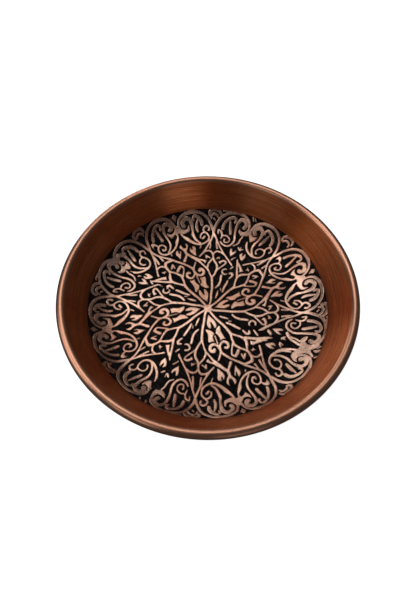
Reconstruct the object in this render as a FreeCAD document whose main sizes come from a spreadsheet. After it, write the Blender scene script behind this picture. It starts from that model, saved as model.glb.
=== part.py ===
import FreeCAD, Part

import math
import os

import Sketcher

# A round copper tray: one spun sheet, flat in the middle, curving up into a straight flaring wall,
# with its edge rolled over a steel wire. Z is the tray's axis, and z = 0 is where the tray stands.
# The struck ornament of the floor is not cut here: its tops are the sheet's upper face.

DIMENSIONS = [
    ("rim_diameter", 200.0, "over the rolled rim"),
    ("tray_height", 29.8, "from the underside to the top of the rim"),
    ("flat_diameter", 122.6, "flat middle of the floor"),
    ("knuckle_radius", 27.9, "upper face of the curve between the flat floor and the wall"),
    ("sheet_thickness", 0.9, "copper sheet"),
    ("wire_diameter", 4.2, "steel wire inside the rim"),
    ("wire_clearance", 0.05, "between the wire and the sheet rolled over it"),
    ("curl_end_angle", -160.0, "degrees from +X, about the wire, at which the rolled edge stops"),
    ("wire_gap_angle", 0.9, "degrees between the butted ends of the wire ring"),
    ("wire_gap_turn", 135.0, "degrees from +X to the gap in the wire ring"),
]

RIM_SECTION_RADIUS = "dims.wire_diameter / 2 + dims.wire_clearance + dims.sheet_thickness"
START, END, CENTRE = 1, 2, 3


def make_sheet(document):
    """The spreadsheet that drives every size: name, value and meaning in each row."""
    sheet = document.addObject("Spreadsheet::Sheet", "dims")
    for row, (alias, value, meaning) in enumerate(DIMENSIONS, start=1):
        sheet.set(f"A{row}", alias)
        sheet.set(f"B{row}", str(value))
        sheet.set(f"C{row}", meaning)
        sheet.setAlias(f"B{row}", alias)
    document.recompute()
    return sheet


def new_body(document, label):
    body = document.addObject("PartDesign::Body", label)
    body.Label = label
    body.Placement = FreeCAD.Placement()
    return body


def origin_feature(body, role):
    return next(item for item in body.Origin.OriginFeatures if item.Role == role)


def new_sketch(body, name, plane):
    """A sketch on one of the body's own origin planes."""
    sketch = body.newObject("Sketcher::SketchObject", name)
    sketch.AttachmentSupport = [(origin_feature(body, plane), "")]
    sketch.MapMode = "FlatFace"
    return sketch


def add_line(sketch, start, end):
    return sketch.addGeometry(Part.LineSegment(FreeCAD.Vector(*start), FreeCAD.Vector(*end)))


def add_circle(sketch, centre, radius):
    return sketch.addGeometry(Part.Circle(FreeCAD.Vector(*centre), FreeCAD.Vector(0, 0, 1), radius))


def add_arc(sketch, centre, radius, start_angle, end_angle):
    """An arc drawn counter-clockwise between two angles in radians."""
    circle = Part.Circle(FreeCAD.Vector(*centre), FreeCAD.Vector(0, 0, 1), radius)
    return sketch.addGeometry(Part.ArcOfCircle(circle, start_angle, end_angle))


def on_circle(centre, radius, angle):
    return (centre[0] + radius * math.cos(angle), centre[1] + radius * math.sin(angle))


def constrain(sketch, kind, *where):
    sketch.addConstraint(Sketcher.Constraint(kind, *where))


def drive(sketch, name, expression, kind, *where):
    """A named dimension of the sketch, bound to the spreadsheet; `where` ends with a start value."""
    index = sketch.addConstraint(Sketcher.Constraint(kind, *where))
    sketch.renameConstraint(index, name)
    sketch.setExpression(f"Constraints.{name}", expression)


def add_section(body, sheet):
    """Half the tray's section: floor, knuckle, wall and the curl round the wire, as one sheet."""
    sketch = new_sketch(body, "section", "XZ_Plane")
    curl_inside = sheet.wire_diameter / 2 + sheet.wire_clearance
    curl_outside = curl_inside + sheet.sheet_thickness
    curl_centre = (sheet.rim_diameter / 2 - curl_outside, sheet.tray_height - curl_outside)
    knuckle_under = sheet.knuckle_radius + sheet.sheet_thickness
    knuckle_centre = (sheet.flat_diameter / 2, knuckle_under)

    # The straight wall touches the knuckle's circle and, on its other side, the curl's circle,
    # so the two centres lie the sum of both radii apart across the wall.
    across = curl_centre[0] - knuckle_centre[0]
    up = curl_centre[1] - knuckle_centre[1]
    both_radii = sheet.knuckle_radius + curl_outside
    slope = math.asin(both_radii / math.hypot(across, up)) + math.atan2(up, across)
    edge_angle = math.radians(sheet.curl_end_angle)
    bottom = -math.pi / 2

    def on_knuckle(radius, angle):
        return on_circle(knuckle_centre, radius, angle)

    def on_curl(radius, angle):
        return on_circle(curl_centre, radius, angle)

    underside = add_line(sketch, (0, 0), on_knuckle(knuckle_under, bottom))
    knuckle_low = add_arc(sketch, knuckle_centre, knuckle_under, bottom, bottom + slope)
    wall_low = add_line(sketch, on_knuckle(knuckle_under, bottom + slope),
                        on_curl(curl_inside, slope - bottom))
    curl_in = add_arc(sketch, curl_centre, curl_inside, edge_angle, slope - bottom)
    curl_edge = add_line(sketch, on_curl(curl_inside, edge_angle), on_curl(curl_outside, edge_angle))
    curl_out = add_arc(sketch, curl_centre, curl_outside, edge_angle, slope - bottom)
    wall_high = add_line(sketch, on_curl(curl_outside, slope - bottom),
                         on_knuckle(sheet.knuckle_radius, bottom + slope))
    knuckle_high = add_arc(sketch, knuckle_centre, sheet.knuckle_radius, bottom, bottom + slope)
    floor = add_line(sketch, on_knuckle(sheet.knuckle_radius, bottom), (0, sheet.sheet_thickness))
    axis = add_line(sketch, (0, sheet.sheet_thickness), (0, 0))

    constrain(sketch, "Coincident", underside, START, -1, START)
    constrain(sketch, "Horizontal", underside)
    constrain(sketch, "Tangent", underside, END, knuckle_low, START)
    constrain(sketch, "Tangent", knuckle_low, END, wall_low, START)
    constrain(sketch, "Tangent", wall_low, END, curl_in, END)
    constrain(sketch, "Coincident", curl_in, START, curl_edge, START)
    constrain(sketch, "Coincident", curl_edge, END, curl_out, START)
    constrain(sketch, "Tangent", curl_out, END, wall_high, START)
    constrain(sketch, "Tangent", wall_high, END, knuckle_high, END)
    constrain(sketch, "Tangent", knuckle_high, START, floor, START)
    constrain(sketch, "Coincident", floor, END, axis, START)
    constrain(sketch, "Coincident", axis, END, underside, START)
    constrain(sketch, "Vertical", axis)
    constrain(sketch, "Coincident", knuckle_low, CENTRE, knuckle_high, CENTRE)
    constrain(sketch, "Coincident", curl_in, CENTRE, curl_out, CENTRE)
    constrain(sketch, "PointOnObject", curl_out, CENTRE, curl_edge)

    drive(sketch, "flat", "dims.flat_diameter / 2",
          "DistanceX", underside, START, underside, END, knuckle_centre[0])
    drive(sketch, "knuckle_under", "dims.knuckle_radius + dims.sheet_thickness",
          "Radius", knuckle_low, knuckle_under)
    drive(sketch, "knuckle_over", "dims.knuckle_radius", "Radius", knuckle_high,
          sheet.knuckle_radius)
    drive(sketch, "curl_inside", "dims.wire_diameter / 2 + dims.wire_clearance",
          "Radius", curl_in, curl_inside)
    drive(sketch, "curl_outside", RIM_SECTION_RADIUS, "Radius", curl_out, curl_outside)
    drive(sketch, "curl_across", f"dims.rim_diameter / 2 - ({RIM_SECTION_RADIUS})",
          "DistanceX", -1, START, curl_out, CENTRE, curl_centre[0])
    drive(sketch, "curl_up", f"dims.tray_height - ({RIM_SECTION_RADIUS})",
          "DistanceY", -1, START, curl_out, CENTRE, curl_centre[1])
    drive(sketch, "curl_end", "dims.curl_end_angle", "Angle", curl_edge, edge_angle)
    return sketch


def revolve(body, name, sketch, angle_expression):
    feature = body.newObject("PartDesign::Revolution", name)
    feature.Profile = (sketch, [""])
    feature.ReferenceAxis = (sketch, ["V_Axis"])
    feature.setExpression("Angle", angle_expression)
    return feature


def make_tray_body(document, sheet):
    """The copper sheet: flat floor, knuckle, straight flaring wall, and rim rolled over the wire."""
    body = new_body(document, "tray_body")
    section = add_section(body, sheet)
    revolve(body, "spun_sheet", section, "360")
    return body


def make_rim_wire(document, sheet):
    """The stiffening wire inside the rolled rim: a ring whose two ends butt with a small gap."""
    body = new_body(document, "rim_wire")
    sketch = new_sketch(body, "wire_section", "XZ_Plane")
    rim_section = sheet.wire_diameter / 2 + sheet.wire_clearance + sheet.sheet_thickness
    centre = (sheet.rim_diameter / 2 - rim_section, sheet.tray_height - rim_section)
    circle = add_circle(sketch, centre, sheet.wire_diameter / 2)
    drive(sketch, "wire", "dims.wire_diameter", "Diameter", circle, sheet.wire_diameter)
    drive(sketch, "across", f"dims.rim_diameter / 2 - ({RIM_SECTION_RADIUS})",
          "DistanceX", -1, START, circle, CENTRE, centre[0])
    drive(sketch, "up", f"dims.tray_height - ({RIM_SECTION_RADIUS})",
          "DistanceY", -1, START, circle, CENTRE, centre[1])
    revolve(body, "wire_ring", sketch, "360 - dims.wire_gap_angle")
    body.setExpression("Placement.Rotation.Angle", "dims.wire_gap_turn")
    return body


def check(document, sub_parts):
    """Stop if any feature failed, or if a sub-part isn't a valid solid."""
    for item in document.Objects:
        if "Invalid" in item.State or "Error" in item.State:
            raise RuntimeError(f"{item.Name} failed: {item.State}")
    for body in sub_parts:
        if body.Shape.isNull() or not body.Shape.isValid() or len(body.Shape.Solids) != 1:
            raise RuntimeError(f"{body.Label} isn't one valid solid")


def main():
    document = FreeCAD.newDocument("copper_tray")
    sheet = make_sheet(document)
    sub_parts = [make_tray_body(document, sheet), make_rim_wire(document, sheet)]
    document.recompute()
    check(document, sub_parts)
    os.makedirs("parts", exist_ok=True)
    for body in sub_parts:
        body.Shape.exportStep(f"parts/{body.Label}.step")
        box = body.Shape.optimalBoundingBox()
        print(f"{body.Label}: {body.Shape.Volume:.1f} mm3, "
              f"x {box.XMin:.2f} to {box.XMax:.2f}, z {box.ZMin:.2f} to {box.ZMax:.2f}")


main()
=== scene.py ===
"""A round copper tray: struck arabesque on a blackened floor, brushed wall, rim rolled over a wire.

The floor's ornament is drawn here in millimetres on the floor as if it were unrolled flat, and is
then raised on the spun shape that the CAD sheet has. Its tops are the CAD sheet's upper face.
"""

import math

import bpy
import numpy as np
from mathutils import Matrix, Vector
from mathutils.geometry import delaunay_2d_cdt


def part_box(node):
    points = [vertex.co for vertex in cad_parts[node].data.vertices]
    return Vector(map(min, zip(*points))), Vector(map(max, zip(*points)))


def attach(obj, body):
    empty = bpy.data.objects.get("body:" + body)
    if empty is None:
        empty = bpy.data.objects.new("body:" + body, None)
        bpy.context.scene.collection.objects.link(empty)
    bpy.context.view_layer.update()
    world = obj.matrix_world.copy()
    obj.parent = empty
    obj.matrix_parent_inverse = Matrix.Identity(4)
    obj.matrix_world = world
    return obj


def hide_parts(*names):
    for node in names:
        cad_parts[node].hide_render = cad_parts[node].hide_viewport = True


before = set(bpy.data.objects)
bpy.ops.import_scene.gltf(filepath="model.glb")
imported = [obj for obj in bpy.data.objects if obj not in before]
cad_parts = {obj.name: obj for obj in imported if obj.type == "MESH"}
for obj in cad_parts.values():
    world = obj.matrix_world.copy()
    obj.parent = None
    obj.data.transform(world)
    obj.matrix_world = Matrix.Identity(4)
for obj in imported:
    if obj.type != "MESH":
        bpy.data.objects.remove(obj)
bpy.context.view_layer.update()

# ---- Sizes of the tray, in millimetres ---------------------------------------------------------

_, tray_high = (corner * 1000 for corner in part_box("tray_body"))
wire_low, wire_high = (corner * 1000 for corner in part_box("rim_wire"))

SHEET = 0.9  # thickness of the copper
CLEARANCE = (tray_high.z - wire_high.z) - SHEET  # between the wire and the curl over it
CURL_INSIDE = (wire_high.z - wire_low.z) / 2 + CLEARANCE
CURL_OUTSIDE = CURL_INSIDE + SHEET
CURL_CENTRE = (tray_high.x - CURL_OUTSIDE, tray_high.z - CURL_OUTSIDE)
CURL_END = math.radians(-160)  # where the rolled edge stops, about the wire
FLAT = 61.3  # radius of the flat middle
KNUCKLE = 27.9  # radius of the curve between floor and wall, on the upper face
KNUCKLE_CENTRE = (FLAT, KNUCKLE + SHEET)

ORNAMENT_EDGE = 85.4  # from the middle, along the unrolled floor
STRUCK_EDGE = ORNAMENT_EDGE + 0.8  # where the struck floor's mesh meets the plain wall's
RELIEF = 0.4  # depth of the ground below the ribs' tops
STRIKE_OVERLAP = 0.8  # width of the seam in which two neighbouring strikes both show

# How far a rib's outline (inside it negative) lies from where it leaves the ground, from its
# shoulder and from its crown, and how high each of them is, as a share of the whole relief.
RIB = [(0.26, 0.0), (-0.02, 0.84), (-0.38, 1.0)]

# ---- How finely it is drawn and meshed, in millimetres unless a comment says otherwise ----------

DRAWN_STEP = 0.5  # about this between the points of a drawn curve
SHARPEST_TURN = math.radians(65)  # a drawn path that turns by more has a corner there
AROUND = 288  # mesh points round the tray
SHORTEST_LINE = 12  # a level line needs more points than this, or it is dropped
LINE_TOLERANCE = 0.035  # how far a thinned level line may stray
EDGE_TOLERANCE = 0.02  # for finding the points on the struck floor's edge
LINE_CLEARANCE = 0.18  # from a level line to the nearest loose point
RING_STEP = 2.4  # between rings of loose points
POINT_STEP = 2.6  # between loose points along a ring
SNAP = 0.06  # a point this near a level takes its height
KNUCKLE_CUTS = 4  # points over the plain part of the knuckle
CURL_CUTS = 40  # points over the curl's outside
UNDERSIDE_CUTS = 14  # points under the knuckle

# ---- The ornament ----------------------------------------------------------------------------

# The die struck the floor four times. Angle of each strike's axis in degrees from +X, and how far
# the strike slipped across its axis and outwards.
STRIKES = [(17.93, 0.0, -0.15), (107.49, 0.3, -0.07), (192.96, -0.22, -0.15), (284.35, 0.07, 0.22)]
STRIKE_CENTRE = (0.4, 0.19)

# Between two strikes the die's halves meet, each this many degrees from its own axis.
HALF_TURN = 44.78

# Ribs: points along each rib as (across the axis, outwards, width).
RIBS = [
    # Two stems from the middle.
    [(-0.6, 1.5, 2), (-1.7, 5, 1.6), (-3.7, 10, 1.8), (-6.7, 15.2, 1.9), (-8.9, 20, 1.9),
     (-10, 23.5, 2.2)],
    [(1.6, 1.5, 2), (3.6, 5, 1.8), (5.6, 10, 1.9), (8, 15, 1.9), (9.7, 20, 1.9),
     (10.8, 23.7, 2.2)],
    # Their branches.
    [(-10, 23.3, 1.8), (-9.6, 26, 1.5), (-9.7, 29, 1.6), (-9.9, 31.8, 1.8), (-11.3, 33.7, 1.7),
     (-13.2, 35.6, 1.6), (-15.6, 37.4, 1.5), (-17.3, 39.2, 1.6)],
    [(-10, 23.5, 1.8), (-12.8, 25.3, 1.6), (-15.3, 27, 1.7), (-17.6, 29.2, 1.9),
     (-18.4, 31.5, 2.1), (-18.1, 34.3, 2), (-17.3, 36.8, 1.4), (-17.4, 39, 1.6),
     (-18.1, 41.5, 1.8), (-18.4, 44, 1.9), (-17.9, 46.2, 2.3), (-16.2, 47, 2), (-14, 47.2, 1.7),
     (-12, 47.4, 1.6)],
    [(-17.5, 28.8, 1.8), (-21, 30.1, 1.8), (-25, 31.7, 1.6), (-28.5, 33.3, 1.6), (-32, 34.6, 1.2)],
    [(10.8, 23.5, 1.8), (10.5, 26, 1.3), (10.6, 29, 1.3), (10.3, 32, 1.5), (11.2, 34.2, 1.6),
     (12.6, 36.2, 1.5), (14.7, 38, 1.5), (16.5, 39.1, 1.5), (17.8, 40.3, 1.5)],
    [(10.8, 23.8, 1.8), (13, 25.2, 1.6), (15.2, 27.6, 1.7), (16.8, 29.6, 1.9), (17.7, 32, 1.8),
     (17.9, 34.5, 1.7), (17.4, 37, 1.6), (17.7, 40, 1.5), (18.3, 43, 1.5), (18.2, 45, 1.5),
     (17.4, 46.6, 1.6), (15.8, 47.4, 1.6), (14, 47.4, 1.4), (12, 46.8, 1.3)],
    [(15.8, 28.3, 1.2), (18, 29.3, 1.2), (21, 30.5, 1.2), (24.5, 32, 1.3), (25.3, 33.3, 1.5),
     (24.3, 34.6, 1.7), (22.5, 34.8, 1.8), (20.8, 34.6, 1.7), (20.9, 33.4, 1)],
    # Long ribs near the sector's two sides, with a shoot each.
    [(-25.4, 59, 1.5), (-25.1, 55, 1.3), (-25, 50, 1.4), (-25.3, 46, 1.3), (-25.8, 42, 1.3),
     (-26.1, 37.3, 1.5)],
    [(-24.9, 56.5, 0.8), (-23.9, 53, 1.2), (-23, 49.5, 1.4), (-22.7, 47.3, 1.5)],
    [(25.4, 61, 1.6), (25.7, 56, 1.4), (25.5, 50, 1.3), (25.9, 45, 1.3), (26.5, 40, 1.3),
     (27.4, 35, 1.3), (28.2, 30.3, 1.4), (28.2, 29, 1.3)],
    [(25, 54.5, 0.8), (24.2, 52, 1.2), (23.5, 48.8, 1.4), (23.3, 47.2, 1.5)],
    # Ribs that slant inwards from the feet of the outer arches.
    [(-25.4, 59.8, 1.8), (-23.3, 57, 1.5), (-21, 54.4, 1.6), (-18.2, 52.2, 1.4), (-15, 50, 1.6),
     (-12.6, 48.1, 1.8), (-9.5, 45.2, 1.8), (-6.7, 43, 1.6), (-4.2, 40.7, 1.6), (-2, 38.2, 1.7),
     (-0.4, 36.1, 1.8), (0.3, 34.3, 1.6)],
    [(-20.6, 53.8, 0.9), (-19.6, 51, 1.2), (-18.9, 49.2, 1.4)],
    [(8.4, 44.5, 1.3), (10.7, 46, 1.4), (12.7, 47.5, 1.6), (14.4, 49.1, 1.5), (16.5, 51.1, 1.5),
     (18.2, 52.8, 1.6), (20, 54.8, 1.7), (21.8, 56.7, 1.6), (23.4, 58.8, 1.7), (25.2, 61, 2)],
    [(20.3, 54, 0.9), (19.3, 51.5, 1.2), (18.2, 49.3, 1.4)],
    # Curved links from the branches to the long ribs.
    [(-25.6, 42.6, 1.3), (-24.2, 44, 1.5), (-22, 44.6, 1.5), (-20, 43.9, 1.5), (-18.5, 42.5, 1.3)],
    [(18.5, 42.8, 1.4), (19.8, 44, 1.5), (21.7, 44.6, 1.6), (23.5, 43.9, 1.6), (25, 42.3, 1.5),
     (26.2, 40, 1.2)],
    # The two small scrolls on the axis, and the stalks beside and below them.
    [(0.5, 34.3, 1.4), (1.3, 36.5, 1.4), (2.6, 38.5, 1.4), (3.6, 40, 1.4)],
    [(0.3, 35.5, 1.6), (0.3, 32, 1.7), (-0.4, 30, 1.6), (-1.8, 28.4, 1.7), (-3.6, 27.8, 1.8),
     (-5.3, 28.9, 2), (-6, 30.8, 1.9), (-5.4, 32.5, 1.8), (-4.2, 33.1, 1.8), (-3.4, 32.4, 1.9)],
    [(0.4, 33, 1.6), (1.1, 30.3, 1.8), (2.5, 28.6, 2), (4.5, 28.1, 2.2), (6.3, 29.1, 2.3),
     (6.9, 31, 2.2), (6.3, 33, 2.2), (4.9, 33.4, 2.2), (4.3, 32.3, 2.6)],
    [(0.8, 28.3, 1), (0.9, 25, 1), (1, 22.2, 0.9)],
    # The fork on the axis, further out.
    [(-2.2, 58.9, 0.7), (-2.7, 57, 2), (-1.7, 54.8, 1.7), (-0.6, 53, 2)],
    [(1.8, 59, 0.7), (2.2, 57, 1.5), (1.5, 54.8, 1.5), (0.2, 53, 1.6)],
    [(-0.3, 54, 2.2), (-0.5, 51.5, 2.1), (-0.2, 49, 2.3)],
    [(-0.4, 49, 1.8), (-2.1, 46.4, 1.9), (-3.7, 43.9, 2.3)],
    [(0.3, 49, 1.9), (2.2, 46.4, 2.1), (4.2, 44, 2.5), (5.9, 42, 3), (6.8, 39.8, 1.8),
     (8.1, 36.8, 1.4), (9.4, 33.9, 1.5), (10.2, 32, 1.4)],
    # Small shoots.
    [(-13.3, 43.5, 1.3), (-14, 42, 1.6), (-14.9, 40.5, 1.5)],
    [(-13.1, 43.4, 1), (-12.7, 41.5, 1.1), (-12.6, 39.9, 1)],
    [(13, 43.8, 1), (12.8, 42.5, 1.2), (12.8, 41.3, 1)],
    [(13.2, 43.7, 1), (14.2, 42, 1.1), (15.2, 40.7, 1)],
    [(-8.2, 40.5, 1.8), (-9.7, 38.9, 2.2), (-11.1, 37, 2.4)],
    [(-8.2, 40.4, 1.5), (-6.5, 38.9, 1.5), (-6.5, 37, 1.3), (-7.6, 34, 1.3), (-9, 31, 1.4)],
    [(11, 51.6, 0.9), (12.4, 53.4, 0.9)],
    [(-11.5, 51.6, 1), (-11.3, 52.6, 1)],
    # The outer arch on the negative side, with its scrolls.
    [(-25.5, 60, 1.8), (-25.8, 65, 1.9), (-26, 70, 2), (-24.6, 75, 2), (-22.8, 78, 2.1),
     (-20.5, 80.2, 2.2), (-18, 81.7, 2.4), (-14.5, 82.7, 2.6), (-10.7, 82.9, 2.6),
     (-7.4, 82.2, 2.3), (-4.6, 80.4, 2), (-2.9, 78, 1.8), (-1.9, 75, 1.6), (-1.4, 72.6, 1.6)],
    [(-1.8, 68.3, 1.1), (-2.1, 66, 1.4), (-3.1, 64.2, 2.2), (-4.2, 62.3, 2.5), (-5.2, 60, 1.8),
     (-6.5, 58, 1.6), (-8.4, 56.1, 1.6), (-10.5, 54.8, 1.6), (-13, 54, 1.7), (-15.5, 53.9, 1.6),
     (-17.6, 54.8, 1.5), (-19, 56.5, 1.4), (-19.5, 58.7, 1.4), (-19.2, 61, 1.4),
     (-18.2, 62.6, 1.3), (-16.6, 63.3, 1.2), (-14.9, 62.6, 1.2), (-13.7, 61.2, 1.3),
     (-13.6, 59.6, 1.5), (-14.5, 58.2, 1.6), (-15.8, 58, 1.6), (-16.3, 59.2, 1.3)],
    [(-12.7, 55.6, 1.2), (-11.2, 57.3, 1.4), (-10, 59.7, 1.5), (-9.4, 62.3, 1.6), (-9.6, 65, 1.5),
     (-10.3, 67.6, 1.5), (-11, 70.2, 1.7), (-11.3, 73, 2), (-11, 76, 2.2), (-9.3, 78.3, 2.8),
     (-6.6, 78, 3), (-4.9, 75.8, 2.9), (-5.4, 73.6, 3), (-6.6, 73.2, 2.8)],
    [(-21.1, 67.8, 2.3), (-20.8, 71, 2.1), (-19.8, 74.3, 2), (-18.2, 77, 2.2), (-15.8, 78.8, 2.2),
     (-14, 78.8, 1.9), (-13.2, 77.3, 1.7), (-13.5, 75, 1.6)],
    [(-17.4, 75.8, 1.4), (-16.4, 72.8, 1.9), (-15.2, 69.5, 2.1), (-14.3, 66.6, 2.2)],
    # The outer arch on the positive side, with its scrolls.
    [(25.5, 62, 1.8), (25.8, 66, 1.9), (25.6, 70, 1.9), (25, 73, 1.9), (23.4, 76.5, 2),
     (21.5, 78.8, 2.1), (19, 80.7, 2.3), (16, 81.9, 2.5), (12.5, 82.6, 2.6), (9, 82.5, 2.5),
     (5.8, 81.6, 2.2), (3.2, 79.9, 1.9), (1.8, 77.5, 1.7), (1.2, 75, 1.6), (1.5, 72.5, 1.6)],
    [(12.9, 56.3, 1.2), (11.5, 58, 1.5), (10.5, 60, 1.8), (10, 62.5, 2), (9.8, 65.2, 2.3),
     (10.5, 67.7, 1.7), (11, 70.3, 2), (11.4, 73.5, 2.5), (11.2, 76.5, 3), (9, 78.8, 3),
     (6.2, 78, 2.8), (4.4, 76, 2.7), (4.9, 73.7, 3.2)],
    [(0.9, 69.3, 1.2), (1.5, 67.5, 1.2), (2.3, 65.6, 1.8), (3.6, 63.8, 2.4), (4.9, 62, 2.8),
     (6.1, 60, 2.4), (7.9, 57.8, 2.2), (10, 55.9, 1.9), (12.5, 54.8, 1.6), (15, 54.9, 1.7),
     (17.5, 55.6, 1.5), (19.4, 57, 1.4), (20.7, 59, 1.3), (20.9, 60.8, 1.3), (20.2, 62.8, 1.3),
     (19, 64.6, 1.5), (18.7, 66.4, 1.6), (19.7, 68, 1.6), (21.4, 68.6, 1.7), (22.9, 68, 1.6),
     (23.4, 66.4, 1.5), (22.7, 65, 1.8)],
    [(18.8, 64.2, 1.3), (17.2, 64.2, 1.4), (15.5, 63.2, 1.4), (14.6, 61.5, 1.3),
     (14.4, 60.6, 1.2)],
    [(15.9, 59.6, 1.7), (17.6, 60.7, 1.7)],
    [(13.8, 75.9, 1.2), (13.8, 77.9, 1.5), (15.2, 79, 1.8), (17, 77.8, 2.5), (18.6, 75.5, 2.8),
     (19.3, 73, 2.6), (18.9, 70.7, 2.3)],
    [(16.6, 75.2, 1), (15, 72, 1.9), (14.1, 69, 2), (14.2, 66.4, 1.5)],
    # The short bar where the two arches meet.
    [(-0.4, 69.8, 2), (-0.1, 72.3, 2.6), (-0.2, 74.5, 1.6)],
    # Curls in the corners beside the arches.
    [(26.8, 75.8, 1.6), (27.8, 78.1, 2.2), (30.2, 79, 2.4), (33, 78, 2.4), (35.3, 75.7, 2.3),
     (35.8, 73.2, 2)],
    [(27.4, 73.2, 1.3), (28.6, 75.2, 1.6), (30.8, 75.4, 1.8), (32.5, 73.8, 1.8), (33, 71.8, 1.5)],
    [(29.3, 72.3, 1), (29.8, 71, 1.2)],
    [(-26.9, 76.3, 1.6), (-27.9, 78.2, 2.2), (-29.8, 79, 2.4), (-32.6, 78.3, 2.4), (-35, 76, 2.3),
     (-35.6, 73.6, 2), (-34, 72, 1.5)],
    [(-27.6, 73.5, 1.4), (-28.6, 75.2, 1.8), (-30.8, 75.2, 1.8), (-32.6, 74, 1.8),
     (-33, 72.2, 1.5)],
    [(38.5, 74.9, 1.2), (41.5, 74, 1), (44, 72.6, 0.5)],
    # The boss in the middle.
    [(-0.1, 0.3, 5.2), (0.1, 0.3, 5.2)],
]

# Leaves: closed outlines, as (across the axis, outwards).
LEAVES = [
    # Near the middle.
    [(1.1, 5), (0, 7), (-1.5, 9.5), (-2.3, 12), (-2.4, 14), (-1.9, 15.8), (-1.1, 16.4),
     (-0.5, 15.8), (-0.2, 14), (0.3, 12), (1, 10.8), (1.3, 11.7), (1.4, 13.5), (1.8, 15.5),
     (2.3, 16), (3.3, 15.3), (3.7, 14), (4, 12), (3.5, 10), (2.3, 7.5)],
    [(-5.5, 26.3), (-4, 25.8), (-2.3, 26), (-1.4, 26.4), (-1.8, 25), (-1.6, 23.5), (-1, 22),
     (-0.1, 20.5), (-0.2, 19.5), (-1, 17.5), (-2.3, 16.3), (-3.6, 15.4), (-4.3, 15.8),
     (-4.2, 17.5), (-4, 19.5), (-4.3, 22), (-5, 24.5)],
    [(2.5, 26.4), (4, 25.9), (5.8, 26.2), (6.5, 25.2), (6.3, 23.5), (5.7, 21.5), (5.4, 19.5),
     (5.7, 17.7), (6.2, 16.3), (5.5, 15.9), (3.7, 16.5), (2.3, 18), (1.2, 19.7), (1, 20.8),
     (2, 21.6), (2.6, 22.8), (2.6, 24.5)],
    # Halfway out.
    [(-6.3, 54.9), (-7.6, 53.6), (-8.2, 52), (-7.6, 50), (-6.8, 48.2), (-6.2, 46.3), (-5.3, 48),
     (-4.4, 50.4), (-3.7, 52.2), (-4, 53.9), (-4.6, 53.6), (-4.8, 52), (-5.4, 51.1), (-5.8, 52.2),
     (-5.8, 54.4)],
    [(3.8, 54.3), (2.8, 52), (3.1, 50.2), (4.3, 48), (5.4, 46.2), (6.3, 45.9), (6.6, 47.8),
     (7.1, 50), (7.9, 52), (7.6, 54), (6.1, 55.1), (5.5, 54.4), (5.4, 52.6), (4.9, 51.5),
     (4.4, 52.6), (4.4, 54)],
    [(-30.5, 34.7), (-26, 35.2), (-20.6, 35.1), (-21.2, 31.9), (-22.6, 32.7), (-25.5, 33.5),
     (-29, 34)],
    [(5.8, 43), (8.5, 41.8), (11.5, 39.7), (11.9, 38.7), (10.2, 37.2), (9.5, 39.2), (7.6, 40.8),
     (6.5, 41)],
    [(-23, 39.6), (-21.6, 39.4), (-20.3, 40), (-19.4, 38.6), (-20.8, 38.3), (-21.2, 37.1),
     (-21.9, 38.3)],
    [(18.9, 37.8), (20.4, 39.3), (22.6, 39.5), (22.2, 38), (21.6, 36.9), (21, 38.1)],
    # Between and inside the outer arches.
    [(-2.4, 81.8), (-0.6, 84.3), (1.4, 82), (0.1, 79.6), (-0.5, 78.2), (-1.3, 79.8)],
    [(-9.3, 71.7), (-9, 69.4), (-8, 68.1), (-6.7, 66.4), (-5.2, 67.8), (-4, 68.7), (-3.2, 68.6),
     (-2.2, 67), (-1.5, 68.5), (-0.6, 70), (-0.4, 72.5), (-1.2, 74.5), (-2.5, 72.8), (-4.2, 70.6),
     (-6, 69.9), (-7.6, 70.3)],
    [(8.8, 73.6), (9.1, 71.8), (8.8, 70), (8, 68.6), (5.5, 67.8), (3.4, 67.5), (2.2, 67.7),
     (1.2, 68.3), (0.2, 70), (0.2, 72.5), (1.2, 74.3), (2.6, 72.6), (4, 71), (5.5, 70.5),
     (7, 70.9), (8, 72.6)],
    [(-24, 65), (-22.8, 66), (-21.2, 65.9), (-19.5, 64.4), (-18.3, 62.6), (-19.2, 61.8),
     (-20.3, 63.2), (-21.3, 63.5), (-22.2, 63), (-22.8, 61.5), (-23.4, 63)],
]

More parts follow.
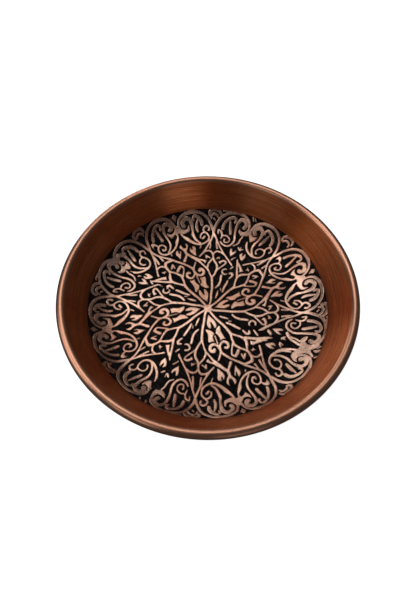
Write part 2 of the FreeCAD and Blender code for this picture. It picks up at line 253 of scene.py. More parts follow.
# The half sector on each strike's clockwise side, and the one on its other side.
CLOCKWISE_RIBS = [
    [(-25.5, 61.5, 1.8), (-26.5, 66, 2), (-26.2, 71, 2.1), (-25, 75.5, 2), (-22.5, 79, 2),
     (-19, 81.5, 2.1), (-14, 83.3, 2.3), (-9, 83.3, 2.3), (-5, 81.7, 2), (-2.7, 79.3, 1.8),
     (-1.7, 76.5, 1.8), (-1.5, 74, 1.8)],
    [(-20.5, 67.8, 2.3), (-21, 71, 2.2), (-20.3, 74.5, 2.1), (-18.5, 77.2, 2.2), (-16, 79, 2.2),
     (-14, 78.9, 2), (-13.4, 77, 1.7), (-13.7, 75.6, 1.4)],
    [(-17.2, 74.8, 1.4), (-15.9, 71.8, 2.1), (-14.4, 68.7, 2.3), (-13.3, 66.5, 2)],
    [(-23.2, 65.2, 1.2), (-22.6, 64, 1.2), (-21.9, 62.8, 1)],
    [(-22.8, 65.5, 1.3), (-20.8, 65.3, 1.5), (-19.2, 63.8, 1.4), (-18.5, 61.8, 1.3),
     (-18.3, 59.8, 1.1)],
    [(-17.6, 62.9, 1.2), (-15.5, 63.6, 1.2), (-13, 62.8, 1.2), (-11.6, 60.9, 1.2),
     (-12, 58.8, 1.2), (-13.8, 57.7, 1.2), (-15.2, 58.6, 1.2), (-15.5, 60.1, 1.6)],
    [(-17.4, 56.9, 1.2), (-15.6, 55.6, 1.5), (-13, 54.9, 1.6), (-10.7, 55.4, 1.6),
     (-9.2, 57.2, 1.7), (-8.3, 60.3, 1.8), (-8.5, 63.3, 1.8), (-9.7, 66.5, 1.7), (-10.7, 70, 1.8),
     (-11.3, 73.5, 1.9), (-11.1, 77, 2.1), (-9.5, 79.8, 2.8), (-6.5, 79.6, 2.8), (-4.6, 77.2, 2.7),
     (-5.4, 74.7, 3)],
    [(-3.6, 67.5, 1.2), (-4.4, 65, 1.3), (-4.3, 62, 1.4), (-5, 59.7, 1.3), (-6.8, 57.7, 1)],
    [(-0.9, 48.4, 0.9), (-2.1, 46.6, 1.1), (-2.7, 45.2, 1.2)],
    [(-2.6, 35.7, 1.3), (-4.1, 35, 1.4), (-4.7, 33.2, 1.4), (-3.7, 31.7, 1.4), (-1.8, 31.2, 1.3),
     (-0.4, 32.1, 1)],
    [(-3.6, 29.3, 1.6), (-3, 27, 1.9), (-2.1, 24.7, 1.8), (-1.8, 21, 1.8), (-2.7, 18, 1.4)],
    [(-2.7, 57.7, 1.2), (-1.2, 56.2, 1.4)],
    [(-0.8, 58.6, 0.8), (-0.7, 56.5, 1.3)],
    [(-1.6, 84.2, 1.2), (-0.6, 82, 1.2)],
    [(-25, 80.5, 0.8), (-21, 81.5, 0.8)],
]
CLOCKWISE_LEAVES = [
    [(-8.5, 72.2), (-8.3, 70.3), (-6.3, 68.6), (-4.5, 68), (-2.2, 69), (-0.5, 69.6), (0, 72.5),
     (-0.8, 76), (-2.2, 74.3), (-4, 71.8), (-6, 71.3)],
    [(-7.6, 54.4), (-7.3, 52.2), (-6.2, 49.8), (-4.8, 47.6), (-3.7, 49.4), (-2.6, 51.8),
     (-2.6, 53.8), (-3.4, 54.6), (-4, 53), (-4.7, 51.6), (-5.5, 52.8), (-6.4, 54.6)],
]
COUNTER_RIBS = [
    [(24.3, 61.5, 1.8), (25, 66, 2), (25.1, 70, 2.1), (24.3, 74.5, 2.1), (22, 78.4, 2.1),
     (18.5, 81.1, 2.2), (14, 82.6, 2.4), (9.5, 82.8, 2.4), (5.5, 81.7, 2.1), (2.7, 79.8, 1.8),
     (1.3, 77.5, 1.6), (0.8, 74.5, 1.6)],
    [(10.5, 55.5, 1.4), (9, 57.3, 1.6), (7.6, 60, 1.7), (7.1, 63, 1.8), (7.5, 66, 1.9),
     (9.1, 69.5, 1.8), (9.8, 73, 2.2), (9.8, 76.3, 2.8), (7.5, 78.6, 3), (4.8, 78, 3),
     (3.4, 75.6, 3), (4.5, 73.4, 3.2)],
    [(1.7, 65, 1.2), (2.2, 62.5, 1.8), (3.7, 59.5, 1.8), (6.3, 56.9, 1.7), (9.3, 55.2, 1.7),
     (12.5, 54.8, 1.6), (15.4, 56, 1.5), (17, 58.4, 1.4), (17.4, 61.2, 1.4), (16.8, 63.5, 1.4),
     (17.3, 65.4, 1.4), (18.8, 66.7, 1.5), (20.5, 66.7, 1.5), (21.7, 65.4, 1.3), (21.3, 64, 1.2),
     (20.6, 63, 1.3)],
    [(16.6, 63.3, 1.3), (14.6, 63.8, 1.2), (12.3, 63.2, 1.2), (11.1, 61.4, 1.3), (11.2, 59.4, 1.3),
     (12.1, 58.4, 1.5)],
    [(12, 75.6, 1.3), (11.8, 77.6, 1.5), (13.2, 78.8, 1.8), (15.8, 77.8, 2.4), (18.6, 75.2, 2.6),
     (19.6, 72, 2.6), (19.1, 69, 2.4)],
    [(15.4, 75, 1.2), (13.9, 71.4, 2.1), (12.2, 68.2, 2.3), (11.4, 66.5, 1.8)],
    [(1.3, 57.5, 1.2), (0, 56, 1.3)],
    [(1.3, 40, 1.2), (0.4, 37.6, 1.2)],
    [(1.5, 33.6, 1.5), (3, 34.4, 1.8), (4.1, 33.2, 1.9), (3.7, 31.3, 1.6), (3.1, 29.6, 1.3)],
    [(3, 27, 1.5), (3.1, 24, 1.8), (3, 21, 1.8), (3.5, 17, 1.5)],
    [(0.2, 16.2, 1), (0.8, 13.5, 1.6), (1.3, 10.5, 1.2)],
    [(1, 19, 1), (1.8, 17.5, 0.8)],
    [(0.6, 84, 1), (1.6, 82.6, 1)],
]
COUNTER_LEAVES = [
    [(7.2, 72), (6.8, 69.2), (4.8, 66.6), (3.4, 66.1), (2.4, 67.6), (1, 70.2), (0, 70.6),
     (0.3, 73.5), (1.6, 73.6), (3, 71.3), (5, 70.7)],
    [(2.3, 54.3), (1.2, 52.3), (1.9, 50.4), (3.4, 48.6), (5, 47.6), (5.7, 49.4), (6.1, 51.6),
     (5.5, 53.8), (4.5, 54.6), (4.3, 53), (3.7, 51.4), (3.1, 52.4), (3.1, 54)],
]

# The last strike and the first lie furthest apart, and this shows between them.
MEETING_TURN = 331.15
MEETING_RIBS = [
    [(-3.2, 68.5, 1.8), (-4.2, 65, 1.9), (-4.6, 62, 1.6), (-5.9, 59, 1.2), (-7.8, 56.8, 0.8)],
    [(1, 68, 1.4), (1.8, 65, 1.8), (3.2, 62, 2), (5.2, 59, 1.8), (7.5, 56.8, 1.5)],
    [(-1.2, 84.6, 1.6), (-0.6, 82.2, 2.2), (-0.9, 80.2, 1.2)],
    [(-5.5, 81.5, 2), (-3.4, 79, 1.8), (-2.2, 76, 2)],
    [(3.5, 80.4, 1.8), (1.4, 78, 1.8), (1, 75, 1.8)],
    [(-3.4, 57.2, 1.2), (-2.3, 55.8, 1.3)],
    [(1.5, 58.2, 1.1), (0.8, 56, 1.2)],
    [(0.2, 49.6, 1), (1.8, 46.5, 2), (4.3, 43, 2.4), (6, 39.5, 2), (7.2, 36, 1.6),
     (8.2, 33.3, 1.6)],
    [(4.4, 43.8, 1.6), (7.2, 42, 1.8), (10.6, 40.2, 1.4)],
    [(-1.6, 47.8, 1), (-3.2, 45.2, 1.1)],
    [(2.3, 39.6, 1.2), (0.7, 36.4, 1.1)],
    [(-9, 44.8, 1.4), (-5, 42, 1.4), (-1.2, 39.7, 1.3)],
]
MEETING_LEAVES = [
    [(-9.4, 71.6), (-9, 69.8), (-7.6, 68.6), (-5.6, 68), (-3.6, 68.8), (-1.8, 69.2), (-0.2, 68.6),
     (1.4, 68), (4.2, 66.4), (6, 67), (7.4, 69), (7.6, 70.8), (5.4, 70.2), (3.2, 71), (1.9, 73.4),
     (0.6, 77.2), (-0.6, 78), (-2, 75), (-3.4, 72.2), (-6, 70.9)],
]


# ---- From drawn ribs and leaves to the floor's relief ------------------------------------------


def curve(points, closed=False):
    """A smooth curve through the points, cut into short steps. Sharp turns stay sharp."""
    points = np.array(points, float)
    count = len(points)
    pieces = []
    for i in range(count if closed else count - 1):
        start, end = points[i], points[(i + 1) % count]
        before = points[i - 1] if closed or i else start
        after = points[(i + 2) % count] if closed or i + 2 < count else end
        chord = end - start
        leave, arrive = (end - before) / 2, (after - start) / 2
        if is_corner(start - before, chord):
            leave = chord
        if is_corner(chord, after - end):
            arrive = chord
        steps = max(2, round(math.hypot(*chord[:2]) / DRAWN_STEP))
        t = np.arange(steps)[:, None] / steps
        pieces.append((2 * t**3 - 3 * t**2 + 1) * start + (t**3 - 2 * t**2 + t) * leave
                      + (3 * t**2 - 2 * t**3) * end + (t**3 - t**2) * arrive)
    if not closed:
        pieces.append(points[-1:])
    return np.concatenate(pieces)


def is_corner(before, after):
    """True where the path turns sharply, or starts or ends."""
    lengths = math.hypot(*before[:2]) * math.hypot(*after[:2])
    return lengths < 1e-9 or before[:2] @ after[:2] < math.cos(SHARPEST_TURN) * lengths


class Relief:
    """Distance to the nearest rib's or leaf's outline over the unrolled floor, negative inside.

    A square grid holds it, about the tray's axis. Beyond REACH it isn't measured.
    """

    PITCH = 0.2  # between grid points
    REACH = 1.2
    HALF = 88.0  # from the axis to the grid's sides

    def __init__(self):
        self.line = np.arange(-self.HALF, self.HALF + self.PITCH / 2, self.PITCH)
        self.distance = np.full((len(self.line), len(self.line)), self.REACH)

    def window(self, points, margin):
        """The part of the grid near some points: its slices, and its x and y."""
        low = (points[:, :2].min(0) - margin + self.HALF) / self.PITCH
        high = (points[:, :2].max(0) + margin + self.HALF) / self.PITCH
        across, along = (slice(max(0, int(low[k])), max(0, int(high[k]) + 2)) for k in (0, 1))
        return (along, across), *np.meshgrid(self.line[across], self.line[along])

    def add_rib(self, points):
        for start, end in zip(points, points[1:]):
            both = np.array([start, end])
            where, x, y = self.window(both, both[:, 2].max() / 2 + self.REACH)
            away, t = to_segment(x, y, start, end)
            away = away - (start[2] + t * (end[2] - start[2])) / 2
            self.distance[where] = np.minimum(self.distance[where], away)

    def add_leaf(self, points):
        where, x, y = self.window(points, self.REACH)
        away = np.full(x.shape, self.REACH)
        inside = np.zeros(x.shape, bool)
        for start, end in zip(points, np.roll(points, -1, 0)):
            away = np.minimum(away, to_segment(x, y, start, end)[0])
            if start[1] != end[1]:
                crosses = start[0] + (y - start[1]) * (end[0] - start[0]) / (end[1] - start[1])
                inside ^= ((start[1] > y) != (end[1] > y)) & (x < crosses)
        away[inside] *= -1
        self.distance[where] = np.minimum(self.distance[where], away)

    def at(self, x, y):
        """The distance at any (x, y), blended between the four nearest grid points."""
        last = len(self.line) - 1.001
        column = np.clip((x + self.HALF) / self.PITCH, 0, last)
        row = np.clip((y + self.HALF) / self.PITCH, 0, last)
        i, j = row.astype(int), column.astype(int)
        up, right = row - i, column - j
        grid = self.distance
        return ((grid[i, j] * (1 - right) + grid[i, j + 1] * right) * (1 - up)
                + (grid[i + 1, j] * (1 - right) + grid[i + 1, j + 1] * right) * up)


def to_segment(x, y, start, end):
    """Distance from each (x, y) to a segment, and how far along it the nearest point is."""
    across, along = end[0] - start[0], end[1] - start[1]
    length_squared = max(across**2 + along**2, 1e-12)
    t = np.clip(((x - start[0]) * across + (y - start[1]) * along) / length_squared, 0, 1)
    return np.hypot(x - start[0] - t * across, y - start[1] - t * along), t


def placed(points, turn, slip):
    """Drawn points put on the unrolled floor, about an axis at `turn` degrees from +X."""
    points = points.copy()
    across, out = points[:, 0] + slip[0], points[:, 1] + slip[1]
    cos, sin = math.cos(math.radians(turn)), math.sin(math.radians(turn))
    points[:, 0] = out * cos + across * sin + STRIKE_CENTRE[0]
    points[:, 1] = out * sin - across * cos + STRIKE_CENTRE[1]
    return points


def draw(relief, ribs, leaves, turn, slip=(0, 0)):
    for points in ribs:
        relief.add_rib(placed(curve(points), turn, slip))
    for points in leaves:
        relief.add_leaf(placed(curve(points, closed=True), turn, slip))


def strike(turn, slip):
    """The relief of one strike: its own sector, and the die's two half sectors beside it."""
    relief = Relief()
    draw(relief, RIBS, LEAVES, turn, slip)
    draw(relief, CLOCKWISE_RIBS, CLOCKWISE_LEAVES, turn - HALF_TURN, slip)
    draw(relief, COUNTER_RIBS, COUNTER_LEAVES, turn + HALF_TURN, slip)
    return relief.distance


def whole_relief():
    """All four strikes, each up to halfway to the next, with the plain wall outside them."""
    whole = Relief()
    x, y = np.meshgrid(whole.line, whole.line)
    bearing = np.arctan2(y - STRIKE_CENTRE[1], x - STRIKE_CENTRE[0])
    reach = np.hypot(x, y)
    turned = [np.abs((bearing - math.radians(turn) + math.pi) % math.tau - math.pi)
              for turn, _, _ in STRIKES]
    nearest = np.min(turned, axis=0)
    for (turn, across, out), away in zip(STRIKES, turned):
        own = (away - nearest) * reach < STRIKE_OVERLAP
        distance = strike(turn, (across, out))
        whole.distance[own] = np.minimum(whole.distance[own], distance[own])
    draw(whole, MEETING_RIBS, MEETING_LEAVES, MEETING_TURN)
    whole.distance = np.minimum(whole.distance, ORNAMENT_EDGE - reach)
    return whole


# ---- Level lines of the relief -----------------------------------------------------------------

# Sides of a grid square: 0 below, 1 right, 2 above, 3 left. For each set of corners that are
# inside (1 below left, 2 below right, 4 above right, 8 above left), the sides a line joins.
JOINS = {
    1: [(0, 3)], 2: [(1, 0)], 3: [(1, 3)], 4: [(2, 1)], 5: [(0, 3), (2, 1)], 6: [(2, 0)],
    7: [(2, 3)], 8: [(3, 2)], 9: [(0, 2)], 10: [(1, 0), (3, 2)], 11: [(1, 2)], 12: [(3, 1)],
    13: [(0, 1)], 14: [(3, 0)],
}


def joined_sides(inside):
    """For each side by which a line enters a grid square, the side by which it leaves.

    The side to the right of a grid point has that point's number. The side above it has that
    number plus the count of all points.
    """
    count, wide = inside.size, inside.shape[1]
    corners = inside[:-1, :-1] + 2 * inside[:-1, 1:] + 4 * inside[1:, 1:] + 8 * inside[1:, :-1]
    following = {}
    for code, joins in JOINS.items():
        row, column = np.nonzero(corners == code)
        point = row * wide + column
        sides = [point, count + point + 1, point + wide, count + point]
        for start, end in joins:
            following.update(zip(sides[start].tolist(), sides[end].tolist()))
    return following


def crossings(sides, distance):
    """Where a level line crosses the given sides, as (column, row) on the grid."""
    count, wide = distance.size, distance.shape[1]
    values = distance.ravel()
    upright = sides >= count
    near = np.where(upright, sides - count, sides)
    far = near + np.where(upright, wide, 1)
    share = values[near] / (values[near] - values[far])
    column = near % wide + np.where(upright, 0, share)
    row = near // wide + np.where(upright, share, 0)
    return np.stack([column, row], 1)


def level_lines(relief, level):
    """Closed lines, in millimetres, along which the relief's distance is `level`."""
    distance = relief.distance - level
    distance[distance == 0] = 1e-9
    following = joined_sides(distance < 0)
    lines = []
    while following:
        first, side = following.popitem()
        loop = [first]
        while side != first:
            loop.append(side)
            side = following.pop(side)
        lines.append(crossings(np.array(loop), distance) * relief.PITCH - relief.HALF)
    return lines


def thinned(line):
    """The closed line with only the points it needs to stay within the tolerance."""
    far = int(np.argmax(np.hypot(*(line - line[0]).T)))
    closed = np.concatenate([line, line[:1]])
    keep = {0, far}
    spans = [(0, far), (far, len(line))]
    while spans:
        start, end = spans.pop()
        if end - start < 2:
            continue
        between = closed[start + 1:end]
        away, _ = to_segment(between[:, 0], between[:, 1], closed[start], closed[end])
        worst = int(np.argmax(away))
        if away[worst] > LINE_TOLERANCE:
            middle = start + 1 + worst
            keep.add(middle)
            spans += [(start, middle), (middle, end)]
    return line[sorted(keep)]


# ---- The struck floor's mesh -------------------------------------------------------------------


def ring_of(count, radius, turned=0.0):
    """Points spread evenly round a circle, starting a share of one step from +X."""
    turns = (np.arange(count) + turned) * math.tau / count
    return radius * np.stack([np.cos(turns), np.sin(turns)], 1)


def outlines(relief):
    """The struck floor's edge, and every rib's and leaf's level lines, as closed lines."""
    loops = [ring_of(AROUND, STRUCK_EDGE)]
    for level, _ in RIB:
        for line in level_lines(relief, level):
            if len(line) > SHORTEST_LINE and np.hypot(*line.T).max() < STRUCK_EDGE:
                loops.append(thinned(line))
    return loops


def loose_points(relief):
    """Points spread evenly wherever no level line is close, so that the triangles stay small."""
    rings = [np.zeros((1, 2))]
    for step, reach in enumerate(np.arange(RING_STEP, STRUCK_EDGE - 1, RING_STEP)):
        count = max(6, round(math.tau * reach / POINT_STEP))
        rings.append(ring_of(count, reach, turned=step % 2 / 2))
    points = np.concatenate(rings)
    away = relief.at(*points.T)
    clear = np.min([np.abs(away - level) for level, _ in RIB], axis=0) > LINE_CLEARANCE
    return points[clear]


def rib_height(distance):
    levels, heights = zip(*reversed(RIB))
    return np.interp(distance, levels, heights)


def floor_mesh(relief):
    """The struck floor, still unrolled: its points, their heights, and its triangles."""
    loops = outlines(relief)
    edges = []
    start = 0
    for loop in loops:
        count = len(loop)
        edges += [(start + k, start + (k + 1) % count) for k in range(count)]
        start += count
    points = [Vector(point) for point in np.concatenate(loops + [loose_points(relief)])]
    made, _, triangles, *_ = delaunay_2d_cdt(points, edges, [], 0, 1e-5)
    flat = np.array([tuple(point) for point in made])
    distance = relief.at(*flat.T)
    for level, _ in RIB:
        distance[np.abs(distance - level) < SNAP] = level
    return flat, rib_height(distance), triangles


def raised(x, y, height):
    """Points of the unrolled floor on the spun shape. Height 1 is the sheet's upper face."""
    out = np.hypot(x, y)
    angle = np.clip((out - FLAT) / KNUCKLE, 0, None)
    radius = KNUCKLE + (1 - height) * RELIEF
    reach = np.where(out < FLAT, out, FLAT + radius * np.sin(angle))
    scale = reach / np.maximum(out, 1e-9)
    z = KNUCKLE_CENTRE[1] - radius * np.cos(angle)
    return np.stack([x * scale, y * scale, z], -1)


# ---- The tray's mesh ---------------------------------------------------------------------------


def arc(centre, radius, angles):
    return [(centre[0] + radius * math.cos(angle), centre[1] + radius * math.sin(angle))
            for angle in angles]


def section():
    """The sheet's section from the struck floor's edge to the curl, and back underneath."""
    across = CURL_CENTRE[0] - KNUCKLE_CENTRE[0]
    up = CURL_CENTRE[1] - KNUCKLE_CENTRE[1]
    slope = math.asin((KNUCKLE + CURL_OUTSIDE) / math.hypot(across, up)) + math.atan2(up, across)
    down = -math.pi / 2
    start = (STRUCK_EDGE - FLAT) / KNUCKLE
    knuckle = down + np.linspace(start, slope, KNUCKLE_CUTS)
    curl = np.linspace(slope - down, CURL_END, CURL_CUTS)
    underside = down + np.linspace(slope, 0, UNDERSIDE_CUTS)

    upper = arc(KNUCKLE_CENTRE, KNUCKLE, knuckle) + arc(CURL_CENTRE, CURL_OUTSIDE, curl)
    lower = arc(CURL_CENTRE, CURL_INSIDE, curl[::-2])
    lower += arc(KNUCKLE_CENTRE, KNUCKLE + SHEET, underside)
    lower += [(FLAT * share, 0.0) for share in (0.8, 0.6, 0.4, 0.2)]
    return upper, lower


def edge_ring(flat):
    """Which points lie on the struck floor's edge, in order round the tray from +X."""
    reach = np.hypot(*flat.T)
    turns = np.arctan2(flat[:, 1], flat[:, 0]) % math.tau
    edge = np.nonzero(reach > reach.max() - EDGE_TOLERANCE)[0]
    order = np.argsort((turns[edge] + 1e-6) % math.tau)
    ring = edge[order].tolist()
    assert len(ring) == AROUND, len(ring)
    return ring


def joined(ring, following):
    """Faces between two rings of points."""
    after = [*range(1, AROUND), 0]
    return [(ring[k], following[k], following[after[k]], ring[after[k]]) for k in range(AROUND)]


def spun(ring, profile, first):
    """The profile's rings of points, numbered from `first`, and the faces from `ring` onwards.

    The last faces close on one point, on the tray's axis at z = 0.
    """
    points, faces = [], []
    for radius, z in profile:
        following = [first + len(points) + k for k in range(AROUND)]
        for k in range(AROUND):
            turn = math.tau * k / AROUND
            points.append((radius * math.cos(turn), radius * math.sin(turn), z))
        faces += joined(ring, following)
        ring = following
    hub = first + len(points)
    faces += [(ring[k], hub, ring[(k + 1) % AROUND]) for k in range(AROUND)]
    return points + [(0, 0, 0)], faces


def marked(count, first_values, rest):
    """One value for each of `count` points: the given ones first, and `rest` for the others."""
    values = np.full(count, rest, np.float32)
    values[:len(first_values)] = first_values
    return values


def make_tray():
    """The copper sheet as one closed mesh: the struck floor, and the rest spun round the axis."""
    flat, heights, triangles = floor_mesh(whole_relief())
    upper, lower = section()
    struck = raised(*flat.T, heights).tolist()
    # The section's first point is the struck floor's edge, which already has its points.
    plain, plain_faces = spun(edge_ring(flat), upper[1:] + lower, len(struck))
    points = np.array(struck + plain) * 0.001

    mesh = bpy.data.meshes.new("tray")
    mesh.from_pydata(points.tolist(), [], [tuple(face) for face in triangles] + plain_faces)
    ornamented = np.hypot(*flat.T) < ORNAMENT_EDGE - 0.1
    upper_count = len(struck) + AROUND * (len(upper) - 1)
    marks = {
        "relief": marked(len(points), heights, 1.0),
        "floor": marked(len(points), ornamented, 0.0),
        "upper": marked(len(points), np.ones(upper_count), 0.0),
    }
    for name, values in marks.items():
        mesh.attributes.new(name, "FLOAT", "POINT").data.foreach_set("value", values)
    mesh.shade_smooth()
    mesh.set_sharp_from_angle(angle=math.radians(60))

    tray = bpy.data.objects.new("tray", mesh)
    bpy.context.scene.collection.objects.link(tray)
    normals = tray.modifiers.new("even_shading", "WEIGHTED_NORMAL")
    normals.keep_sharp = True
    normals.weight = 60
    return tray


# ---- Materials -----------------------------------------------------------------------------------


def opaque(red, green, blue):
    return (red, green, blue, 1.0)


class Nodes:
    """A material's node tree, with short calls for the nodes used here."""

    def __init__(self, name):
        self.material = bpy.data.materials.new(name)
        self.material.use_nodes = True
        self.tree = self.material.node_tree
        self.shader = self.tree.nodes["Principled BSDF"]

    def add(self, kind, inputs=(), output=0, **settings):
        node = self.tree.nodes.new("ShaderNode" + kind)
        for name, value in settings.items():
            setattr(node, name, value)
        for where, value in dict(inputs).items():
            self.put(node.inputs[where], value)
        return node.outputs[output]

    def put(self, socket, value):
        if isinstance(value, bpy.types.NodeSocket):
            self.tree.links.new(value, socket)
        else:
            socket.default_value = value

    def shade(self, name, value):
        """Set one input of the material's shader."""
        self.put(self.shader.inputs[name], value)

    def attribute(self, name):
        return self.add("Attribute", output="Fac", attribute_name=name)

    def maths(self, operation, first, second=0.0):
        return self.add("Math", {0: first, 1: second}, operation=operation)

    def ramp(self, value, low, high, at_low=0.0, at_high=1.0):
        inputs = {"Value": value, "From Min": low, "From Max": high,
                  "To Min": at_low, "To Max": at_high}
        return self.add("MapRange", inputs, output="Result", interpolation_type="SMOOTHSTEP")

    def noise(self, where, scale, detail=2.0, roughness=0.5):
        inputs = {"Vector": where, "Scale": scale, "Detail": detail, "Roughness": roughness}
        return self.add("TexNoise", inputs, output="Fac")

    def mix(self, share, first, second):
        """A colour between two colours."""
        return self.add("Mix", {0: share, 6: first, 7: second}, output=2, data_type="RGBA")

    def blend(self, share, first, second):
        """A number between two numbers."""
        return self.add("Mix", {0: share, 2: first, 3: second}, data_type="FLOAT")


class CopperNodes(Nodes):
    """The copper's nodes, with what its colour, roughness and bump all read.

    Places are in metres. `floor`, `relief` and `upper` are the mesh's own marks.
    """

    WALL_LEAN = (0.55, 0.84)  # about the cosine and the sine of the wall's slope
    BEAD_START = (0.0936, 0.0948)  # from the axis

    def __init__(self):
        super().__init__("aged_copper")
        self.place = self.add("TexCoord", output="Object")
        self.x, self.y, z = self.add("SeparateXYZ", {"Vector": self.place}).node.outputs
        squares = self.maths("ADD", self.times(self.x, self.x), self.times(self.y, self.y))
        self.reach = self.maths("SQRT", squares)
        out, up = self.WALL_LEAN
        self.climb = self.maths("ADD", self.times(self.reach, out), self.times(z, up))
        self.floor = self.attribute("floor")
        self.upper = self.attribute("upper")
        self.relief = self.attribute("relief")
        self.fine_brush = self.brushed(4200.0, 2.4)
        self.broad_brush = self.brushed(700.0, 1.3)
        self.cloud = self.noise(self.place, 22.0, detail=3.0)
        self.grain = self.noise(self.place, 900.0, detail=3.0, roughness=0.6)
        self.bead = self.ramp(self.reach, *self.BEAD_START)

    def times(self, first, second):
        return self.maths("MULTIPLY", first, second)

    def brushed(self, across, around):
        """Streaks that run round the tray, finer across than around."""
        off_axis = self.maths("ADD", self.reach, 0.001)
        cos = self.maths("DIVIDE", self.x, off_axis)
        sin = self.maths("DIVIDE", self.y, off_axis)
        where = self.add("CombineXYZ", {
            "X": self.times(self.climb, across),
            "Y": self.times(cos, around),
            "Z": self.times(sin, around),
        })
        return self.noise(where, 1.0, detail=3.0, roughness=0.6)


def wall_colour(n):
    """Warm brushed copper, paler on the bead, with patchy painted shade at the wall's base."""
    foot_start, foot_end = 0.0815, 0.0865
    clouds = n.ramp(n.cloud, 0.35, 0.68)
    copper = n.mix(clouds, opaque(0.62, 0.16, 0.045), opaque(0.78, 0.265, 0.105))
    copper = n.mix(n.ramp(n.broad_brush, 0.42, 0.66, 0.0, 0.4), copper, opaque(0.36, 0.09, 0.03))
    copper = n.mix(n.ramp(n.fine_brush, 0.48, 0.7, 0.0, 0.6), copper, opaque(0.30, 0.08, 0.03))
    # Painted shade in cloudy spots: the copper goes dark near the wall's base.
    painted_shade_spots = n.ramp(n.cloud, 0.35, 0.6, 0.35, 1.0)
    painted_foot_shade = n.times(n.ramp(n.reach, foot_start, foot_end, 0.8, 0.0), painted_shade_spots)
    copper = n.mix(painted_foot_shade, copper, opaque(0.12, 0.03, 0.012))
    return n.mix(n.times(n.bead, 0.75), copper, opaque(0.62, 0.34, 0.23))


def rib_colour(n):
    """Paler copper of the rubbed ribs, with a dark grain."""
    rubbed = n.mix(n.ramp(n.cloud, 0.36, 0.62), opaque(0.50, 0.26, 0.175), opaque(0.92, 0.59, 0.44))
    return n.mix(n.ramp(n.grain, 0.58, 0.78, 0.0, 0.2), rubbed, opaque(0.24, 0.11, 0.07))


def ground_colour(n):
    """Blackened ground, with the die's fine slanting hatching just showing."""
    across = n.maths("ADD", n.times(n.x, 0.8), n.times(n.y, 0.6))
    place = n.add("CombineXYZ", {"X": across, "Y": n.times(n.y, 0.12)})
    hatch = n.ramp(n.noise(place, 1500.0, detail=1.0), 0.56, 0.7)
    return n.mix(hatch, opaque(0.002, 0.0008, 0.0006), opaque(0.045, 0.038, 0.035))


def underside_colour(n):
    """Dull darker copper, also on the inside of the curl."""
    return n.mix(n.ramp(n.cloud, 0.3, 0.7), opaque(0.28, 0.12, 0.07), opaque(0.45, 0.21, 0.125))


def copper_roughness(n, bare):
    wall = n.ramp(n.fine_brush, 0.3, 0.7, 0.24, 0.42)
    wall = n.blend(n.bead, wall, 0.3)
    ribs = n.ramp(n.grain, 0.3, 0.7, 0.24, 0.42)
    ground, underside = 0.6, 0.55
    rough = n.blend(bare, ground, n.blend(n.floor, wall, ribs))
    return n.blend(n.upper, underside, rough)


def aged_copper():
    """Copper brushed round the tray, rubbed bright on the ribs and blackened in the sunk ground."""
    n = CopperNodes()
    patchy = n.maths("ADD", n.relief, n.ramp(n.grain, 0.3, 0.7, -0.14, 0.14))
    bare = n.ramp(patchy, 0.46, 0.76)
    copper = n.mix(n.floor, wall_colour(n), rib_colour(n))
    upper_colour = n.mix(bare, ground_colour(n), copper)
    n.shade("Base Color", n.mix(n.upper, underside_colour(n), upper_colour))
    n.shade("Metallic", n.ramp(bare, 0.0, 1.0))
    n.shade("Roughness", copper_roughness(n, bare))
    n.shade("Anisotropic", 0.75)
    n.shade("Anisotropic Rotation", 0.25)
    n.shade("Specular IOR Level", 0.12)
    n.shade("Tangent", n.add("Tangent", direction_type="RADIAL", axis="Z"))
    marks = n.blend(n.floor, n.fine_brush, n.grain)
    n.shade("Normal", n.add("Bump", {"Height": marks, "Strength": 0.25, "Distance": 0.00003}))
    return n.material


def rim_steel():
    """Plain drawn wire: grey, with fine lines along the ring and a few rust specks."""
    n = Nodes("rim_steel")
    place = n.add("TexCoord", output="Object")
    squashed = n.add("Mapping", {"Vector": place, "Scale": (1.0, 1.0, 12.0)})
    lines = n.noise(squashed, 180.0, detail=3.0)
    specks = n.noise(place, 420.0, detail=4.0, roughness=0.7)
    grey = n.mix(n.ramp(lines, 0.3, 0.7), opaque(0.30, 0.29, 0.28), opaque(0.48, 0.47, 0.46))
    grey = n.mix(n.ramp(specks, 0.62, 0.75, 0.0, 0.7), grey, opaque(0.16, 0.08, 0.045))
    n.shade("Base Color", grey)
    n.shade("Metallic", 1.0)
    n.shade("Roughness", n.ramp(lines, 0.3, 0.7, 0.32, 0.5))
    return n.material


def pale_floor():
    """White ground that glows, so that it stays as white as the photo's background."""
    n = Nodes("pale_floor")
    n.shade("Base Color", opaque(0.95, 0.95, 0.95))
    n.shade("Roughness", 0.9)
    n.shade("Specular IOR Level", 0.1)
    n.shade("Emission Color", opaque(1.0, 1.0, 1.0))
    n.shade("Emission Strength", 0.95)
    return n.material


# ---- The pieces ----------------------------------------------------------------------------------

tray = make_tray()
tray.data.materials.append(aged_copper())
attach(tray, "root")
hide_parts("tray_body")

rim_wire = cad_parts["rim_wire"]
rim_wire.data.materials.clear()
rim_wire.data.materials.append(rim_steel())

# ---- Floor, light and camera, in metres ----------------------------------------------------------


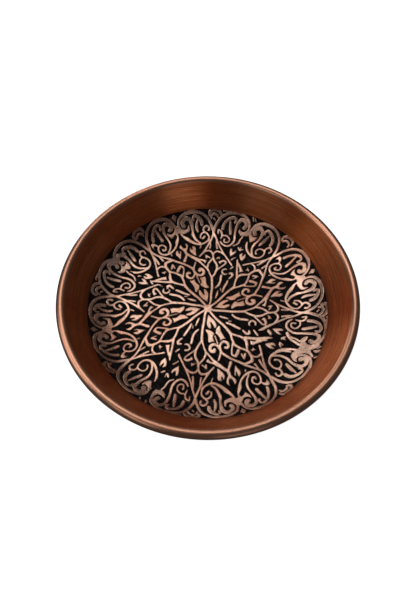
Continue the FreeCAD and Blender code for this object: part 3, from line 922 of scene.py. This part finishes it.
def make_floor():
    """A square that reaches far beyond the tray, a little below it so that no faces coincide."""
    half, z = 8, -0.0002
    mesh = bpy.data.meshes.new("floor")
    corners = [(-half, -half, z), (half, -half, z), (half, half, z), (-half, half, z)]
    mesh.from_pydata(corners, [], [(0, 1, 2, 3)])
    mesh.materials.append(pale_floor())
    floor = bpy.data.objects.new("floor", mesh)
    floor.visible_glossy = False
    bpy.context.scene.collection.objects.link(floor)
    return floor


def soft_light(name, place, wide, high, watts):
    """A rectangular light that faces the tray."""
    data = bpy.data.lights.new(name, "AREA")
    data.shape = "RECTANGLE"
    data.size = wide
    data.size_y = high
    data.energy = watts
    light = bpy.data.objects.new(name, data)
    light.location = place
    light.rotation_euler = (-Vector(place)).to_track_quat("-Z", "Y").to_euler()
    bpy.context.scene.collection.objects.link(light)


def make_camera():
    """Nearly 60 degrees above the table, looking a little behind and left of the tray's middle."""
    height = math.radians(59.86)
    roll = math.radians(-0.93)
    distance = 0.3673
    aim = Vector((-0.00474, 0.00653, SHEET / 1000))
    back = Vector((0, -math.cos(height), math.sin(height)))
    across = Vector((1, 0, 0))
    right = across * math.cos(roll) + back.cross(across) * math.sin(roll)
    up = back.cross(right)
    data = bpy.data.cameras.new("camera")
    data.lens = 30.8
    camera = bpy.data.objects.new("camera", data)
    turned = Matrix((right, up, back)).transposed().to_4x4()
    camera.matrix_world = Matrix.Translation(aim + back * distance) @ turned
    bpy.context.scene.collection.objects.link(camera)
    bpy.context.scene.camera = camera


def make_world():
    """Faint, slightly blue light from all round."""
    world = bpy.data.worlds.new("studio")
    world.use_nodes = True
    background = world.node_tree.nodes["Background"]
    background.inputs["Color"].default_value = opaque(0.9, 0.93, 1.0)
    background.inputs["Strength"].default_value = 0.07
    bpy.context.scene.world = world


make_floor()
soft_light("over", (-0.14, 0.45, 0.95), 0.6, 0.4, 1.6)
soft_light("behind", (-0.1, 1.0, 0.6), 0.4, 0.25, 0.5)
soft_light("left", (-0.8, 0.08, 0.74), 0.5, 0.45, 1.5)
soft_light("near_left", (-0.55, -0.5, 0.81), 0.35, 0.35, 0.45)
soft_light("behind_left", (-0.48, 0.98, 0.22), 0.5, 0.3, 1.1)
soft_light("front", (0.35, -1.2, 0.42), 0.6, 0.35, 0.35)
make_camera()
make_world()
bpy.context.scene.view_settings.view_transform = "Standard"
